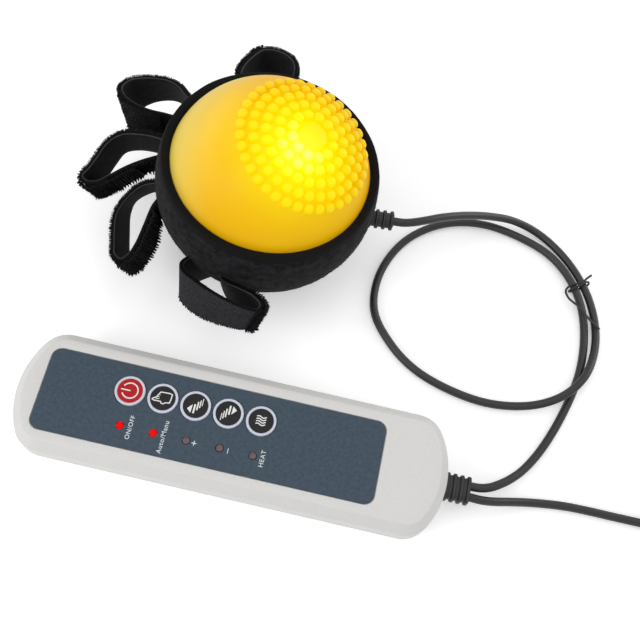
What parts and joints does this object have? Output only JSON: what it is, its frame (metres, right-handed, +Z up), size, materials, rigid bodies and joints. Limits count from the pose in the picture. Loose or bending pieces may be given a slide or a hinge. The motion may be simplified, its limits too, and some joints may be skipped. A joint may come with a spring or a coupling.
{
  "type": "finger massager",
  "caption": "Massage ball with a lit, heated, nubbed dome in a fabric cup with finger loops, wired to a long handset with keys and lamps.",
  "frame": {"origin": "on the table under the ball's upright axis, at the middle of the cup's flat base", "axes": "+X along the handset towards its cord end, +Y away from the handset, from it to the ball and past it, +Z up"},
  "size_m": [0.3436, 0.207, 0.0944],
  "materials": {
    "soft_dome": "soft translucent yellow elastomer lit from inside",
    "ball_shell": "moulded, covered by the cup",
    "inner_plastic": "moulded, hidden",
    "board": "green circuit board",
    "black_plastic": "moulded",
    "heater": "copper track on film",
    "motor_steel": "plated",
    "weight_brass": "turned",
    "cord_rubber": "satin black jacket",
    "plush": "black brushed loop pile",
    "binding": "plain woven edge",
    "loop_tape": "black brushed loop tape",
    "hook_tape": "black hook tape",
    "case_plastic": "warm off-white, fine texture",
    "overlay_film": "printed blue-grey membrane",
    "power_key_red": "red disc in a pale ring",
    "key_black": "black disc in a pale ring",
    "led_lit": "lit red lens",
    "led_dark": "unlit lens",
    "glow_lamp": "warm lamp, lit",
    "screw_steel": "zinc plated",
    "tie_plastic": "black",
    "plug_metal": "nickel plated barrel"
  },
  "bodies": {
    "root": {"massage_dome": "soft_dome", "lower_shell": "ball_shell", "mounting_plate": "inner_plastic", "lamp_board": "board", "thermal_cutout": "black_plastic", "heating_film": "heater", "motor_can": "motor_steel", "motor_end_cap": "inner_plastic", "glow_lamp_1": "glow_lamp", "glow_lamp_2": "glow_lamp", "glow_lamp_3": "glow_lamp", "ball_screw_1": "screw_steel", "ball_screw_2": "screw_steel", "ball_screw_3": "screw_steel", "ball_strain_relief": "cord_rubber", "cover_cup": "plush", "rim_binding": "binding", "finger_strap_1": "loop_tape", "finger_hook_1": "hook_tape", "finger_strap_2": "loop_tape", "finger_hook_2": "hook_tape", "finger_strap_3": "loop_tape", "finger_hook_3": "hook_tape", "finger_strap_4": "loop_tape", "finger_hook_4": "hook_tape", "finger_strap_5": "loop_tape", "finger_hook_5": "hook_tape", "handset_top_case": "case_plastic", "handset_bottom_case": "case_plastic", "control_overlay": "overlay_film", "tact_switch_1": "black_plastic", "status_led_1": "led_lit", "tact_switch_2": "black_plastic", "status_led_2": "led_lit", "tact_switch_3": "black_plastic", "status_led_3": "led_dark", "tact_switch_4": "black_plastic", "status_led_4": "led_dark", "tact_switch_5": "black_plastic", "status_led_5": "led_dark", "handset_circuit_board": "board", "case_screw_1": "screw_steel", "case_screw_2": "screw_steel", "case_screw_3": "screw_steel", "case_screw_4": "screw_steel", "handset_strain_relief": "cord_rubber", "ball_cord": "cord_rubber", "cord_tie": "tie_plastic", "adapter_cord": "cord_rubber", "adapter_cord_coil": "cord_rubber", "coil_tie": "tie_plastic", "plug_body": "cord_rubber", "plug_barrel": "plug_metal"},
    "rotor": {"motor_shaft": "motor_steel", "eccentric_weight": "weight_brass"},
    "power_key_body": {"power_key": "power_key_red"},
    "mode_key_body": {"mode_key": "key_black"},
    "plus_key_body": {"plus_key": "key_black"},
    "minus_key_body": {"minus_key": "key_black"},
    "heat_key_body": {"heat_key": "key_black"}
  },
  "joints": [
    {"name": "power_key_press", "type": "slide", "parent": "root", "child": "power_key_body", "axis": [0, 0, -1], "range_m": [0, 0.0004], "stiffness_N_per_m": 300},
    {"name": "mode_key_press", "type": "slide", "parent": "root", "child": "mode_key_body", "axis": [0, 0, -1], "range_m": [0, 0.0004], "stiffness_N_per_m": 300},
    {"name": "plus_key_press", "type": "slide", "parent": "root", "child": "plus_key_body", "axis": [0, 0, -1], "range_m": [0, 0.0004], "stiffness_N_per_m": 300},
    {"name": "minus_key_press", "type": "slide", "parent": "root", "child": "minus_key_body", "axis": [0, 0, -1], "range_m": [0, 0.0004], "stiffness_N_per_m": 300},
    {"name": "heat_key_press", "type": "slide", "parent": "root", "child": "heat_key_body", "axis": [0, 0, -1], "range_m": [0, 0.0004], "stiffness_N_per_m": 300},
    {"name": "motor_spin", "type": "hinge", "parent": "root", "child": "rotor", "pos_m": [0, 0, 0.04733], "axis": [0, 0, 1], "continuous": true}
  ]
}
